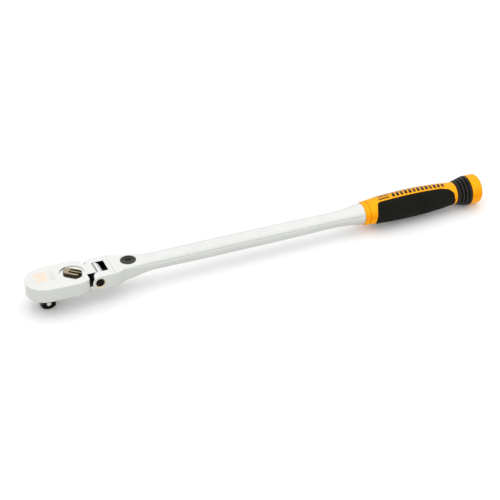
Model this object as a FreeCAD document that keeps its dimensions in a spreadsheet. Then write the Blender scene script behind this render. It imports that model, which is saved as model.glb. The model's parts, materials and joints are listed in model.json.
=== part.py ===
# Locking flex-head ratchet wrench, half-inch square drive.
# Every sub-part is modelled about the mid-plane of the tool, with the drive axis at x = 0 and y = 0,
# and is then lifted by its Placement so that the end of the drive square is at z = 0.
# +X runs from the drive to the grip, +Z is the side of the reversing lever. Sizes are in millimetres.
import FreeCAD, Part
import math
import os

import Sketcher

os.makedirs("parts", exist_ok=True)
doc = FreeCAD.newDocument("ratchet_wrench")
Vector = FreeCAD.Vector

DIMENSIONS = {
    # whole tool
    "drive_reach": 21.75,
    # head
    "head_half": 7.15,
    "head_front_radius": 18.5,
    "head_flare_angle": 2.2,
    "head_shoulder_start": 23.0,
    "head_rear": 36.5,
    "head_rear_half_width": 15.7,
    "head_corner_radius": 2.5,
    "head_top_edge": 0.7,
    "head_bottom_edge": 1.8,
    # gear and drive square
    "gear_radius": 13.0,
    "gear_top": 3.9,
    "gear_bottom": -4.35,
    "gear_teeth": 72,
    "tooth_depth": 0.7,
    "chamber_radius": 13.1,
    "chamber_top": 4.0,
    "boss_radius": 9.6,
    "boss_bottom": -7.7,
    "square_width": 12.7,
    "square_corner": 1.2,
    "square_tip_radius": 6.0,
    # cover plate under the gear and its ring
    "cover_top": -4.42,
    "cover_bottom": -5.9,
    "cover_radius": 14.85,
    "cover_bore": 9.68,
    "cover_seat_radius": 14.9,
    "cover_ring_radius": 15.45,
    "cover_groove_radius": 15.5,
    "cover_groove_top": -5.93,
    "cover_groove_bottom": -6.55,
    "cover_ring_bore": 13.8,
    # detent in the drive square
    "detent_height": -16.6,
    "detent_ball_radius": 2.6,
    "detent_ball_reach": 4.95,
    "detent_bore_radius": 2.65,
    "detent_mouth_radius": 2.27,
    "detent_bore_depth": 3.0,
    # pawl
    "pawl_inner": 13.12,
    "pawl_outer": 18.7,
    "pawl_half_angle": 25.0,
    "pawl_rest_angle": 5.0,
    "pawl_half_height": 4.1,
    "pawl_pocket_outer": 19.0,
    "pawl_pocket_half_angle": 32.0,
    "pawl_tooth_spaces": 9,
    "pawl_toothed_angle": 40.0,
    # reversing lever
    "lever_axis": 24.5,
    "lever_rest_angle": -40.0,
    "lever_recess_radius": 11.5,
    "lever_recess_floor": 6.2,
    "lever_shaft_radius": 5.4,
    "lever_bore_radius": 5.46,
    "lever_bore_floor": -5.2,
    "lever_shaft_end": -5.1,
    "lever_height": 8.9,
    "lever_hub_radius": 4.5,
    "lever_hub_offset": -3.9,
    "lever_thumb_radius": 4.7,
    "lever_thumb_offset": 4.9,
    "lever_edge": 0.6,
    "lever_slot_start": -2.2,
    "lever_slot_middle": 1.9,
    "lever_slot_half_width": 1.15,
    "lever_slot_depth": 1.8,
    "lever_ring_top": 3.66,
    "lever_ring_bottom": 3.04,
    "lever_ring_bore": 4.8,
    "lever_ring_radius": 5.95,
    "lever_ring_play": 0.06,
    "seal_height": 4.9,
    "seal_groove_half": 0.5,
    "seal_groove_bore": 4.5,
    "seal_radius": 4.96,
    "seal_wire": 0.43,
    "lever_plunger_radius": 1.4,
    "lever_plunger_reach": 5.4,
    # hinge between head and handle
    "pin_axis": 45.88,
    "pin_radius": 3.9,
    "pin_chamfer": 0.9,
    "pin_end": 15.3,
    "tongue_half_width": 8.0,
    "tongue_bore_radius": 3.96,
    "tongue_tooth_depth": 0.9,
    "tongue_groove_mouth": 0.75,
    "tongue_groove_root": 0.12,
    "lock_positions": 13,
    # clevis, neck and bar of the handle
    "clevis_half": 7.1,
    "clevis_half_width": 16.2,
    "clevis_end": 62.0,
    "clevis_edge": 0.7,
    "window_half_width": 8.17,
    "window_end": 56.0,
    "cross_groove": 60.4,
    "cross_groove_depth": 0.45,
    "cross_groove_half_width": 0.35,
    "neck_end": 98.0,
    "bar_end": 312.6,
    "tang_radius": 6.0,
    "tang_end": 426.0,
    # lock button and plunger
    "button_axis": 77.2,
    "button_bore_radius": 7.35,
    "button_bore_floor": -5.9,
    "button_flange_radius": 7.28,
    "button_radius": 6.65,
    "button_top": 7.85,
    "button_bottom": -2.1,
    "button_ring_bore": 6.75,
    "button_ring_radius": 7.95,
    "button_ring_top": 6.0,
    "button_ring_bottom": 5.3,
    "button_slot_top": 5.4,
    "button_slot_width": 3.1,
    "cross_pin_height": 1.6,
    "cross_pin_radius": 0.9,
    "cross_pin_length": 11.0,
    "button_travel": 2.0,
    "plunger_radius": 3.14,
    "plunger_bore_radius": 3.2,
    "plunger_bore_end": 93.0,
    "plunger_end": 85.0,
    "plunger_gap": 0.12,
    "plunger_groove_mouth": 0.5,
    "plunger_groove_root": 0.12,
    "plunger_groove_depth": 0.8,
    "plunger_tail_start": 66.0,
    "plunger_tail_half_width": 1.4,
    "plunger_tail_bottom": -1.95,
    "ramp_half_width": 1.32,
    "ramp_bottom": -1.45,
    "plunger_travel": 2.0,
    # grip
    "grip_start": 312.7,
    "grip_end": 413.0,
    "grip_nose_radius": 10.6,
    "collar_end": 317.3,
    "collar_radius": 11.75,
    "collar_groove": 0.6,
    "grip_front": 318.2,
    "grip_tail_radius": 8.0,
    "grip_tail_end": 434.0,
    "panel_start": 324.0,
    "panel_end": 410.5,
    "panel_depth": 1.6,
    "spine_half_width": 4.8,
    "ring_end": 428.0,
    "cap_radius": 14.5,
    "cap_edge": 3.5,
    "tool_end": 440.0,
    # springs: mean coil radius, wire radius, length and number of turns
    "detent_spring_radius": 1.7,
    "detent_spring_wire": 0.25,
    "detent_spring_length": 5.1,
    "detent_spring_turns": 5,
    "detent_spring_start": -2.2,
    "lever_spring_radius": 1.0,
    "lever_spring_wire": 0.2,
    "lever_spring_length": 3.3,
    "lever_spring_turns": 5,
    "lever_spring_start": -2.4,
    "lock_button_spring_radius": 5.4,
    "lock_button_spring_wire": 0.4,
    "lock_button_spring_length": 3.65,
    "lock_button_spring_turns": 2,
    "lock_plunger_spring_radius": 2.3,
    "lock_plunger_spring_wire": 0.35,
    "lock_plunger_spring_length": 7.6,
    "lock_plunger_spring_turns": 5,
}

sheet = doc.addObject("Spreadsheet::Sheet", "dims")
for row, (name, value) in enumerate(DIMENSIONS.items(), start=1):
    sheet.set(f"A{row}", name)
    sheet.set(f"B{row}", str(value))
    sheet.setAlias(f"B{row}", name)
doc.recompute()


def size(expression):
    """Number that an expression of dimension names stands for."""
    return float(sheet.evalExpression(expression.replace("dims.", "")))


def new_body(name):
    return doc.addObject("PartDesign::Body", name)


def new_sketch(body, name, plane="XY_Plane", shift_x="0", shift_y="0", lift="0"):
    """Sketch on one of the body's own origin planes, moved by bound offsets."""
    sketch = body.newObject("Sketcher::SketchObject", name)
    support = next(f for f in body.Origin.OriginFeatures if f.Role == plane)
    sketch.AttachmentSupport = (support, [""])
    sketch.MapMode = "FlatFace"
    sketch.setExpression("AttachmentOffset.Base.x", shift_x)
    sketch.setExpression("AttachmentOffset.Base.y", shift_y)
    sketch.setExpression("AttachmentOffset.Base.z", lift)
    return sketch


def bind(sketch, kind, edge, end, expression):
    """Hold one coordinate of an edge's end at a bound distance from the sketch origin."""
    index = sketch.addConstraint(Sketcher.Constraint(kind, -1, 1, edge, end, size(expression)))
    sketch.setExpression(f"Constraints[{index}]", expression)


def bind_point(sketch, edge, end, x, y):
    bind(sketch, "DistanceX", edge, end, x)
    bind(sketch, "DistanceY", edge, end, y)


def bind_radius(sketch, edge, expression):
    index = sketch.addConstraint(Sketcher.Constraint("Radius", edge, size(expression)))
    sketch.setExpression(f"Constraints[{index}]", expression)


def draw_polygon(sketch, corners):
    """Closed polygon; each corner is a pair of expressions."""
    points = [Vector(size(x), size(y), 0) for x, y in corners]
    first = sketch.GeometryCount
    count = len(points)
    for i in range(count):
        sketch.addGeometry(Part.LineSegment(points[i], points[(i + 1) % count]))
    for i, (x, y) in enumerate(corners):
        bind_point(sketch, first + i, 1, x, y)
        following = first + (i + 1) % count
        sketch.addConstraint(Sketcher.Constraint("Coincident", first + i, 2, following, 1))


def draw_circle(sketch, radius, x="0", y="0"):
    centre = Vector(size(x), size(y), 0)
    edge = sketch.addGeometry(Part.Circle(centre, Vector(0, 0, 1), size(radius)))
    bind_radius(sketch, edge, radius)
    bind_point(sketch, edge, 3, x, y)


def draw_sector(sketch, inner, outer, low, high):
    """Ring sector about the sketch origin between two angles in degrees."""
    def polar(radius, angle):
        return f"({radius}) * cos(({angle}) * 1deg)", f"({radius}) * sin(({angle}) * 1deg)"

    def arc(radius):
        full = Part.Circle(Vector(0, 0, 0), Vector(0, 0, 1), size(radius))
        return Part.ArcOfCircle(full, math.radians(size(low)), math.radians(size(high)))

    ends = {(r, a): polar(r, a) for r in (inner, outer) for a in (low, high)}
    points = {key: Vector(size(x), size(y), 0) for key, (x, y) in ends.items()}
    inner_arc = sketch.addGeometry(arc(inner))
    outer_arc = sketch.addGeometry(arc(outer))
    low_side = sketch.addGeometry(Part.LineSegment(points[inner, low], points[outer, low]))
    high_side = sketch.addGeometry(Part.LineSegment(points[inner, high], points[outer, high]))
    for edge, radius in ((inner_arc, inner), (outer_arc, outer)):
        bind_radius(sketch, edge, radius)
        sketch.addConstraint(Sketcher.Constraint("Coincident", edge, 3, -1, 1))
    for side, end in ((low_side, 1), (high_side, 2)):
        sketch.addConstraint(Sketcher.Constraint("Coincident", inner_arc, end, side, 1))
        sketch.addConstraint(Sketcher.Constraint("Coincident", outer_arc, end, side, 2))
    for side, angle in ((low_side, low), (high_side, high)):
        for end, radius in ((1, inner), (2, outer)):
            bind(sketch, "DistanceY", side, end, ends[radius, angle][1])


def draw_tapered_slot(sketch, first_radius, first_x, second_radius, second_x):
    """Outline of two circles on the X axis joined by their outer tangent lines."""
    r1, x1, r2, x2 = (size(e) for e in (first_radius, first_x, second_radius, second_x))
    lean = math.acos((r1 - r2) / (x2 - x1))
    up = Vector(0, 0, 1)
    big = Part.Circle(Vector(x1, 0, 0), up, r1)
    small = Part.Circle(Vector(x2, 0, 0), up, r2)
    big_arc = sketch.addGeometry(Part.ArcOfCircle(big, lean, 2 * math.pi - lean))
    small_arc = sketch.addGeometry(Part.ArcOfCircle(small, -lean, lean))
    for sign, big_end, small_end in ((1, 1, 2), (-1, 2, 1)):
        side = Vector(math.cos(lean), sign * math.sin(lean), 0)
        line = sketch.addGeometry(
            Part.LineSegment(Vector(x1, 0, 0) + side * r1, Vector(x2, 0, 0) + side * r2))
        sketch.addConstraint(Sketcher.Constraint("Tangent", big_arc, big_end, line, 1))
        sketch.addConstraint(Sketcher.Constraint("Tangent", small_arc, small_end, line, 2))
    bind_radius(sketch, big_arc, first_radius)
    bind_radius(sketch, small_arc, second_radius)
    bind_point(sketch, big_arc, 3, first_x, "0")
    bind_point(sketch, small_arc, 3, second_x, "0")


def extrude(body, kind, sketch, length, midplane=False, backwards=False):
    """Pad or Pocket of a bound length."""
    feature = body.newObject(f"PartDesign::{kind}", f"{sketch.Name}_{kind.lower()}")
    feature.Profile = sketch
    feature.setExpression("Length", length)
    feature.Midplane = midplane
    feature.Reversed = backwards
    sketch.Visibility = False
    return feature


def spin(body, kind, sketch, axis):
    """Revolution or Groove through a full turn about an axis of its sketch."""
    feature = body.newObject(f"PartDesign::{kind}", f"{sketch.Name}_{kind.lower()}")
    feature.Profile = sketch
    feature.ReferenceAxis = (sketch, [axis])
    feature.Angle = 360
    return feature


def repeat_round(body, original, sketch, count, span):
    """Copies of a feature about the normal of a sketch."""
    pattern = body.newObject("PartDesign::PolarPattern", f"{original.Name}_pattern")
    pattern.Originals = [original]
    pattern.Axis = (sketch, ["N_Axis"])
    pattern.setExpression("Angle", span)
    pattern.setExpression("Occurrences", count)
    body.Tip = pattern
    return pattern


def dress(body, kind, test, amount):
    """Fillet or Chamfer on the edges whose bounding box passes a test."""
    doc.recompute()
    base = body.Tip
    names = [f"Edge{i}" for i, edge in enumerate(base.Shape.Edges, start=1)
             if test(edge.BoundBox)]
    feature = body.newObject(f"PartDesign::{kind}", f"{base.Name}_{kind.lower()}")
    feature.Base = (base, names)
    feature.setExpression("Size" if kind == "Chamfer" else "Radius", amount)
    return feature


def near(value, target):
    return abs(value - target) < 1e-3


def finish(part, label, x="0"):
    """Name a sub-part and lift it so that the end of the square is at z = 0."""
    part.Label = label
    part.setExpression("Placement.Base.x", x)
    part.setExpression("Placement.Base.z", "dims.drive_reach")
    finished.append(part)
    return part


def coil(label, start, direction):
    """Compression spring that stands on a start point and runs along a direction."""
    wire = f"dims.{label}_wire"
    body = new_body(label)
    section = new_sketch(body, f"{label}_section", "XZ_Plane")
    draw_circle(section, wire, f"dims.{label}_radius", wire)
    helix = body.newObject("PartDesign::AdditiveHelix", f"{label}_helix")
    helix.Profile = section
    helix.ReferenceAxis = (section, ["V_Axis"])
    helix.Mode = "pitch-height-angle"
    rise = f"dims.{label}_length - 2 * {wire}"
    helix.setExpression("Height", rise)
    helix.setExpression("Pitch", f"({rise}) / dims.{label}_turns")
    body.Placement = FreeCAD.Placement(start, FreeCAD.Rotation(Vector(0, 0, 1), direction))
    body.Label = label
    finished.append(body)


finished = []


# ---- head -------------------------------------------------------------------------------------

def draw_head_outline(sketch):
    """Round front, straight flared sides and a bowed shoulder that ends in a flat rear."""
    radius = size("dims.head_front_radius")
    flare = math.radians(size("dims.head_flare_angle"))
    start_x = size("dims.head_shoulder_start")
    rear_x = size("dims.head_rear")
    rear_y = size("dims.head_rear_half_width")
    touch = Vector(-radius * math.sin(flare), radius * math.cos(flare), 0)
    along = Vector(math.cos(flare), math.sin(flare), 0)
    bend = touch + along * ((start_x - touch.x) / along.x)
    inward = Vector(along.y, -along.x, 0)
    chord = Vector(rear_x, rear_y, 0) - bend
    bow = chord.Length ** 2 / (2 * chord.dot(inward))
    centre = bend + inward * bow
    up = Vector(0, 0, 1)

    def mirrored(point, sign):
        return Vector(point.x, sign * point.y, 0)

    front = Part.Circle(Vector(0, 0, 0), up, radius)
    front_arc = sketch.addGeometry(
        Part.ArcOfCircle(front, math.pi / 2 + flare, 3 * math.pi / 2 - flare))
    rear = sketch.addGeometry(
        Part.LineSegment(Vector(rear_x, rear_y, 0), Vector(rear_x, -rear_y, 0)))
    bind_radius(sketch, front_arc, "dims.head_front_radius")
    sketch.addConstraint(Sketcher.Constraint("Coincident", front_arc, 3, -1, 1))
    bind_point(sketch, rear, 1, "dims.head_rear", "dims.head_rear_half_width")
    bind_point(sketch, rear, 2, "dims.head_rear", "-dims.head_rear_half_width")
    for sign, front_end, rear_end in ((1, 1, 1), (-1, 2, 2)):
        side = sketch.addGeometry(
            Part.LineSegment(mirrored(touch, sign), mirrored(bend, sign)))
        middle = mirrored(centre, sign)
        ends = [mirrored(bend, sign), Vector(rear_x, sign * rear_y, 0)]
        angles = [math.atan2(p.y - middle.y, p.x - middle.x) for p in ends]
        shoulder = sketch.addGeometry(
            Part.ArcOfCircle(Part.Circle(middle, up, bow), min(angles), max(angles)))
        bend_end, corner_end = (2, 1) if sign > 0 else (1, 2)
        sketch.addConstraint(Sketcher.Constraint("Tangent", front_arc, front_end, side, 1))
        sketch.addConstraint(Sketcher.Constraint("Tangent", side, 2, shoulder, bend_end))
        sketch.addConstraint(
            Sketcher.Constraint("Coincident", shoulder, corner_end, rear, rear_end))
        bind(sketch, "DistanceX", side, 2, "dims.head_shoulder_start")
        index = sketch.addConstraint(Sketcher.Constraint("Angle", side, sign * flare))
        sketch.setExpression(f"Constraints[{index}]", f"{sign} * dims.head_flare_angle * 1deg")


def make_head():
    body = new_body("head_body")
    outline = new_sketch(body, "head_outline")
    draw_head_outline(outline)
    extrude(body, "Pad", outline, "2 * dims.head_half", midplane=True)
    half = size("dims.head_half")
    rear = size("dims.head_rear")
    dress(body, "Fillet", lambda b: near(b.XMin, rear) and near(b.ZLength, 2 * half),
          "dims.head_corner_radius")
    dress(body, "Fillet", lambda b: near(b.ZMin, half), "dims.head_top_edge")
    dress(body, "Fillet", lambda b: near(b.ZMax, -half), "dims.head_bottom_edge")

    tongue = new_sketch(body, "tongue_block", "XZ_Plane")
    draw_polygon(tongue, [("dims.head_rear - 4", "-dims.head_half"),
                          ("dims.pin_axis", "-dims.head_half"),
                          ("dims.pin_axis", "dims.head_half"),
                          ("dims.head_rear - 4", "dims.head_half")])
    extrude(body, "Pad", tongue, "2 * dims.tongue_half_width", midplane=True)
    knuckle = new_sketch(body, "tongue_knuckle", "XZ_Plane", shift_x="dims.pin_axis")
    draw_circle(knuckle, "dims.head_half")
    extrude(body, "Pad", knuckle, "2 * dims.tongue_half_width", midplane=True)

    groove = new_sketch(body, "tongue_groove", "XZ_Plane", shift_x="dims.pin_axis")
    bottom = "-dims.head_half + dims.tongue_tooth_depth"
    outside = "-dims.head_half - 0.1"
    draw_polygon(groove, [("-dims.tongue_groove_root", bottom),
                          ("-dims.tongue_groove_mouth", outside),
                          ("dims.tongue_groove_mouth", outside),
                          ("dims.tongue_groove_root", bottom)])
    first = extrude(body, "Pocket", groove, "2 * dims.clevis_half_width", midplane=True)
    turn = repeat_round(body, first, groove, "dims.lock_positions", "180")
    turn.Reversed = True

    bore = new_sketch(body, "tongue_bore", "XZ_Plane", shift_x="dims.pin_axis")
    draw_circle(bore, "dims.tongue_bore_radius")
    extrude(body, "Pocket", bore, "3 * dims.tongue_half_width", midplane=True)

    chamber = new_sketch(body, "gear_chamber", "XZ_Plane")
    draw_polygon(chamber, [("0", "dims.chamber_top"),
                           ("dims.chamber_radius", "dims.chamber_top"),
                           ("dims.chamber_radius", "dims.cover_top + 0.02"),
                           ("dims.cover_seat_radius", "dims.cover_top + 0.02"),
                           ("dims.cover_seat_radius", "dims.cover_groove_top"),
                           ("dims.cover_groove_radius", "dims.cover_groove_top"),
                           ("dims.cover_groove_radius", "dims.cover_groove_bottom"),
                           ("dims.cover_seat_radius", "dims.cover_groove_bottom"),
                           ("dims.cover_seat_radius", "-dims.head_half - 1"),
                           ("0", "-dims.head_half - 1")])
    spin(body, "Groove", chamber, "V_Axis")

    seat = new_sketch(body, "lever_seat", "XZ_Plane", shift_x="dims.lever_axis")
    draw_polygon(seat, [("0", "dims.head_half + 1"),
                        ("dims.lever_recess_radius", "dims.head_half + 1"),
                        ("dims.lever_recess_radius", "dims.lever_recess_floor"),
                        ("dims.lever_bore_radius", "dims.lever_recess_floor"),
                        ("dims.lever_bore_radius", "dims.lever_ring_top"),
                        ("dims.lever_ring_radius + 0.06", "dims.lever_ring_top"),
                        ("dims.lever_ring_radius + 0.06", "dims.lever_ring_bottom"),
                        ("dims.lever_bore_radius", "dims.lever_ring_bottom"),
                        ("dims.lever_bore_radius", "dims.lever_bore_floor"),
                        ("0", "dims.lever_bore_floor")])
    spin(body, "Groove", seat, "V_Axis")

    pocket = new_sketch(body, "pawl_pocket", lift="-dims.pawl_half_height - 0.1")
    draw_sector(pocket, "dims.chamber_radius - 2", "dims.pawl_pocket_outer",
                "-dims.pawl_pocket_half_angle", "dims.pawl_pocket_half_angle")
    extrude(body, "Pocket", pocket, "dims.pawl_half_height + 0.1 + dims.chamber_top",
            backwards=True)

    window = new_sketch(body, "plunger_window", shift_x="dims.lever_axis",
                        lift="-dims.lever_plunger_radius - 0.2")
    draw_sector(window, "dims.lever_shaft_radius - 1.5",
                "dims.lever_plunger_reach + dims.lever_plunger_radius + 0.2", "125", "235")
    extrude(body, "Pocket", window, "2 * dims.lever_plunger_radius + 0.4", backwards=True)
    finish(body, "head_body")


def make_cover_plate():
    body = new_body("gear_cover_plate")
    disc = new_sketch(body, "cover_disc", lift="dims.cover_bottom")
    draw_circle(disc, "dims.cover_radius")
    draw_circle(disc, "dims.cover_bore")
    extrude(body, "Pad", disc, "dims.cover_top - dims.cover_bottom")
    finish(body, "gear_cover_plate")


def make_open_ring(label, inner, outer, bottom, top, low, high, x="0"):
    """Retaining ring with a gap, lying flat in its groove."""
    body = new_body(label)
    ring = new_sketch(body, f"{label}_shape", lift=bottom)
    draw_sector(ring, inner, outer, low, high)
    extrude(body, "Pad", ring, f"({top}) - ({bottom})")
    finish(body, label, x)


# ---- drive ------------------------------------------------------------------------------------

def make_drive_gear():
    ring = new_body("gear_ring")
    outline = new_sketch(ring, "gear_outline", lift="dims.gear_bottom")
    tip = size("dims.gear_radius")
    root = size("dims.gear_radius - dims.tooth_depth")
    pitch = 2 * math.pi / size("dims.gear_teeth")
    tooth_form = ((tip, -0.06), (tip, 0.06), (root, 0.44), (root, 0.56))
    corners = []
    for tooth in range(round(size("dims.gear_teeth"))):
        for radius, part_of_pitch in tooth_form:
            angle = (tooth + part_of_pitch) * pitch
            corners.append(Vector(radius * math.cos(angle), radius * math.sin(angle), 0))
    for first, second in zip(corners, corners[1:] + corners[:1]):
        outline.addGeometry(Part.LineSegment(first, second))
    extrude(ring, "Pad", outline, "dims.gear_top - dims.gear_bottom")

    stub = new_body("drive_stub")
    boss = new_sketch(stub, "drive_boss", lift="dims.boss_bottom")
    draw_circle(boss, "dims.boss_radius")
    extrude(stub, "Pad", boss, "-dims.boss_bottom")
    dress(stub, "Chamfer", lambda b: near(b.ZMax, size("dims.boss_bottom")), "0.4")
    square = new_sketch(stub, "drive_square", lift="-dims.drive_reach")
    half = "dims.square_width / 2"
    draw_polygon(square, [(f"-{half}", f"-{half}"), (half, f"-{half}"),
                          (half, half), (f"-{half}", half)])
    extrude(stub, "Pad", square, "dims.drive_reach")
    side = size(half)
    dress(stub, "Fillet", lambda b: near(abs(b.XMin), side) and near(abs(b.YMin), side)
          and b.ZLength > 10, "dims.square_corner")
    taper = new_sketch(stub, "turned_tip", "XZ_Plane")
    draw_polygon(taper, [("dims.square_tip_radius", "-dims.drive_reach"),
                         ("dims.square_tip_radius", "-dims.drive_reach - 1"),
                         ("dims.square_tip_radius + 4", "-dims.drive_reach - 1"),
                         ("dims.square_tip_radius + 4", "-dims.drive_reach + 4")])
    spin(stub, "Groove", taper, "V_Axis")

    hole = new_sketch(stub, "detent_hole", lift="dims.detent_height")
    draw_polygon(hole, [("0", "-dims.square_width / 2 - 0.5"),
                        ("dims.detent_mouth_radius", "-dims.square_width / 2 - 0.5"),
                        ("dims.detent_mouth_radius", "-dims.square_width / 2 + 0.05"),
                        ("dims.detent_bore_radius", "-dims.square_width / 2 + 0.75"),
                        ("dims.detent_bore_radius", "dims.detent_bore_depth"),
                        ("0", "dims.detent_bore_depth")])
    spin(stub, "Groove", hole, "V_Axis")
    gear = doc.addObject("Part::Fuse", "gear_and_square")
    gear.Base = ring
    gear.Tool = stub
    finish(gear, "drive_gear")


def make_detent_ball():
    ball = doc.addObject("Part::Sphere", "detent_ball")
    ball.setExpression("Radius", "dims.detent_ball_radius")
    ball.Label = "detent_ball"
    ball.setExpression("Placement.Base.y", "-dims.detent_ball_reach")
    ball.setExpression("Placement.Base.z", "dims.drive_reach + dims.detent_height")
    finished.append(ball)


# ---- pawl and reversing lever -----------------------------------------------------------------

def make_pawl():
    body = new_body("pawl")
    block = new_sketch(body, "pawl_block")
    draw_sector(block, "dims.pawl_inner", "dims.pawl_outer",
                "-dims.pawl_half_angle", "dims.pawl_half_angle")
    extrude(body, "Pad", block, "2 * dims.pawl_half_height - 0.3", midplane=True)
    space = new_sketch(body, "pawl_tooth_space")
    draw_polygon(space, [("dims.pawl_inner - 0.1", "-0.5"),
                         ("dims.pawl_inner + dims.tooth_depth", "-0.06"),
                         ("dims.pawl_inner + dims.tooth_depth", "0.06"),
                         ("dims.pawl_inner - 0.1", "0.5")])
    space.setExpression("AttachmentOffset.Rotation.Angle", "-dims.pawl_toothed_angle / 2")
    first = extrude(body, "Pocket", space, "4 * dims.pawl_half_height", midplane=True)
    repeat_round(body, first, space, "dims.pawl_tooth_spaces", "dims.pawl_toothed_angle")
    notch = new_sketch(body, "pawl_notch", shift_x="dims.lever_axis")
    draw_circle(notch, "dims.lever_plunger_reach + dims.lever_plunger_radius + 0.15")
    extrude(body, "Pocket", notch, "4 * dims.pawl_half_height", midplane=True)
    finish(body, "pawl")
    body.Placement.Rotation = FreeCAD.Rotation(Vector(0, 0, 1), 1)
    body.setExpression("Placement.Rotation.Angle", "dims.pawl_rest_angle")


def turn_with_lever(part):
    """Set a sub-part of the lever at the lever's rest angle."""
    part.Placement.Rotation = FreeCAD.Rotation(Vector(0, 0, 1), 1)
    part.setExpression("Placement.Rotation.Angle", "dims.lever_rest_angle")


def make_lever():
    body = new_body("reversing_lever")
    plate = new_sketch(body, "lever_plate", lift="dims.lever_recess_floor + 0.05")
    draw_tapered_slot(plate, "dims.lever_hub_radius", "dims.lever_hub_offset",
                      "dims.lever_thumb_radius", "dims.lever_thumb_offset")
    extrude(body, "Pad", plate, "dims.lever_height - dims.lever_recess_floor - 0.05")
    top = size("dims.lever_height")
    dress(body, "Chamfer", lambda b: near(b.ZMin, top), "dims.lever_edge")
    shaft = new_sketch(body, "lever_shaft", lift="dims.lever_shaft_end")
    draw_circle(shaft, "dims.lever_shaft_radius")
    extrude(body, "Pad", shaft, "dims.lever_recess_floor - dims.lever_shaft_end + 0.3")

    slots = new_sketch(body, "thumb_slots", "YZ_Plane", lift="dims.lever_slot_start")
    low = "dims.lever_height - dims.lever_slot_depth"
    high = "dims.lever_height + 0.5"
    for side in ("", "-"):
        near_edge = f"{side}(dims.lever_slot_middle - dims.lever_slot_half_width)"
        far_edge = f"{side}(dims.lever_slot_middle + dims.lever_slot_half_width)"
        draw_polygon(slots, [(near_edge, low), (far_edge, low), (far_edge, high),
                             (near_edge, high)])
    extrude(body, "Pocket", slots, "3 * dims.lever_thumb_radius", backwards=True)

    grooves = new_sketch(body, "shaft_grooves", "XZ_Plane")
    outside = "dims.lever_shaft_radius + 0.6"
    seal_low = "dims.seal_height - dims.seal_groove_half"
    seal_high = "dims.seal_height + dims.seal_groove_half"
    draw_polygon(grooves, [("dims.lever_ring_bore", "dims.lever_ring_bottom"),
                           (outside, "dims.lever_ring_bottom"),
                           (outside, "dims.lever_ring_top"),
                           ("dims.lever_ring_bore", "dims.lever_ring_top")])
    draw_polygon(grooves, [("dims.seal_groove_bore", seal_low), (outside, seal_low),
                           (outside, seal_high), ("dims.seal_groove_bore", seal_high)])
    spin(body, "Groove", grooves, "V_Axis")

    hole = new_sketch(body, "plunger_hole", "YZ_Plane", lift="-dims.lever_shaft_radius - 1")
    draw_circle(hole, "dims.lever_plunger_radius + 0.05")
    extrude(body, "Pocket", hole, "dims.lever_shaft_radius + 2", backwards=True)
    finish(body, "reversing_lever", "dims.lever_axis")
    turn_with_lever(body)


def make_lever_plunger():
    body = new_body("lever_plunger")
    stem = new_sketch(body, "plunger_stem", "YZ_Plane", lift="-dims.lever_plunger_reach")
    draw_circle(stem, "dims.lever_plunger_radius")
    extrude(body, "Pad", stem, "2.9")
    end = doc.addObject("Part::Sphere", "plunger_round_end")
    end.setExpression("Radius", "dims.lever_plunger_radius")
    end.setExpression("Placement.Base.x", "-dims.lever_plunger_reach")
    fuse = doc.addObject("Part::Fuse", "lever_plunger_whole")
    fuse.Base = body
    fuse.Tool = end
    body.Label = "lever_plunger_stem"
    finish(fuse, "lever_plunger", "dims.lever_axis")
    turn_with_lever(fuse)


def make_lever_seal():
    seal = doc.addObject("Part::Torus", "lever_seal")
    seal.setExpression("Radius1", "dims.seal_radius")
    seal.setExpression("Radius2", "dims.seal_wire")
    seal.Label = "lever_seal"
    seal.setExpression("Placement.Base.x", "dims.lever_axis")
    seal.setExpression("Placement.Base.z", "dims.drive_reach + dims.seal_height")
    finished.append(seal)


# ---- handle -----------------------------------------------------------------------------------

# Cross sections of the neck: distance along the tool, half width, half height, corner radius.
NECK = [
    (62.0, 16.2, 7.1, 0.7),
    (66.5, 13.9, 7.12, 1.2),
    (71.0, 11.7, 7.15, 1.9),
    (76.5, 10.9, 7.2, 2.9),
    (82.0, 10.3, 7.3, 4.1),
    (90.0, 8.9, 7.6, 6.2),
    (98.0, 8.0, 7.95, 7.6),
]

# Radius of the round bar at distances along the tool.
BAR = [
    (98.0, 7.95), (118.0, 8.05), (154.0, 8.4), (190.0, 8.3), (226.0, 8.2), (262.0, 7.8),
    (284.0, 7.65), (293.0, 8.0), (301.0, 8.95), (308.0, 10.05), (312.6, 10.35),
]


def draw_rounded_rectangle(sketch, half_width, half_height, corner):
    """Rectangle with rounded corners, centred on the sketch origin."""
    flat_x = half_width - corner
    flat_y = half_height - corner
    up = Vector(0, 0, 1)
    corners = [(1, 1, 0), (-1, 1, 90), (-1, -1, 180), (1, -1, 270)]
    arcs = []
    for sx, sy, start in corners:
        ring = Part.Circle(Vector(sx * flat_x, sy * flat_y, 0), up, corner)
        arcs.append(sketch.addGeometry(
            Part.ArcOfCircle(ring, math.radians(start), math.radians(start + 90))))
    for i, arc in enumerate(arcs):
        following = arcs[(i + 1) % 4]
        start = sketch.Geometry[arc].EndPoint
        end = sketch.Geometry[following].StartPoint
        line = sketch.addGeometry(Part.LineSegment(start, end))
        sketch.addConstraint(Sketcher.Constraint("Coincident", arc, 2, line, 1))
        sketch.addConstraint(Sketcher.Constraint("Coincident", line, 2, following, 1))


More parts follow.
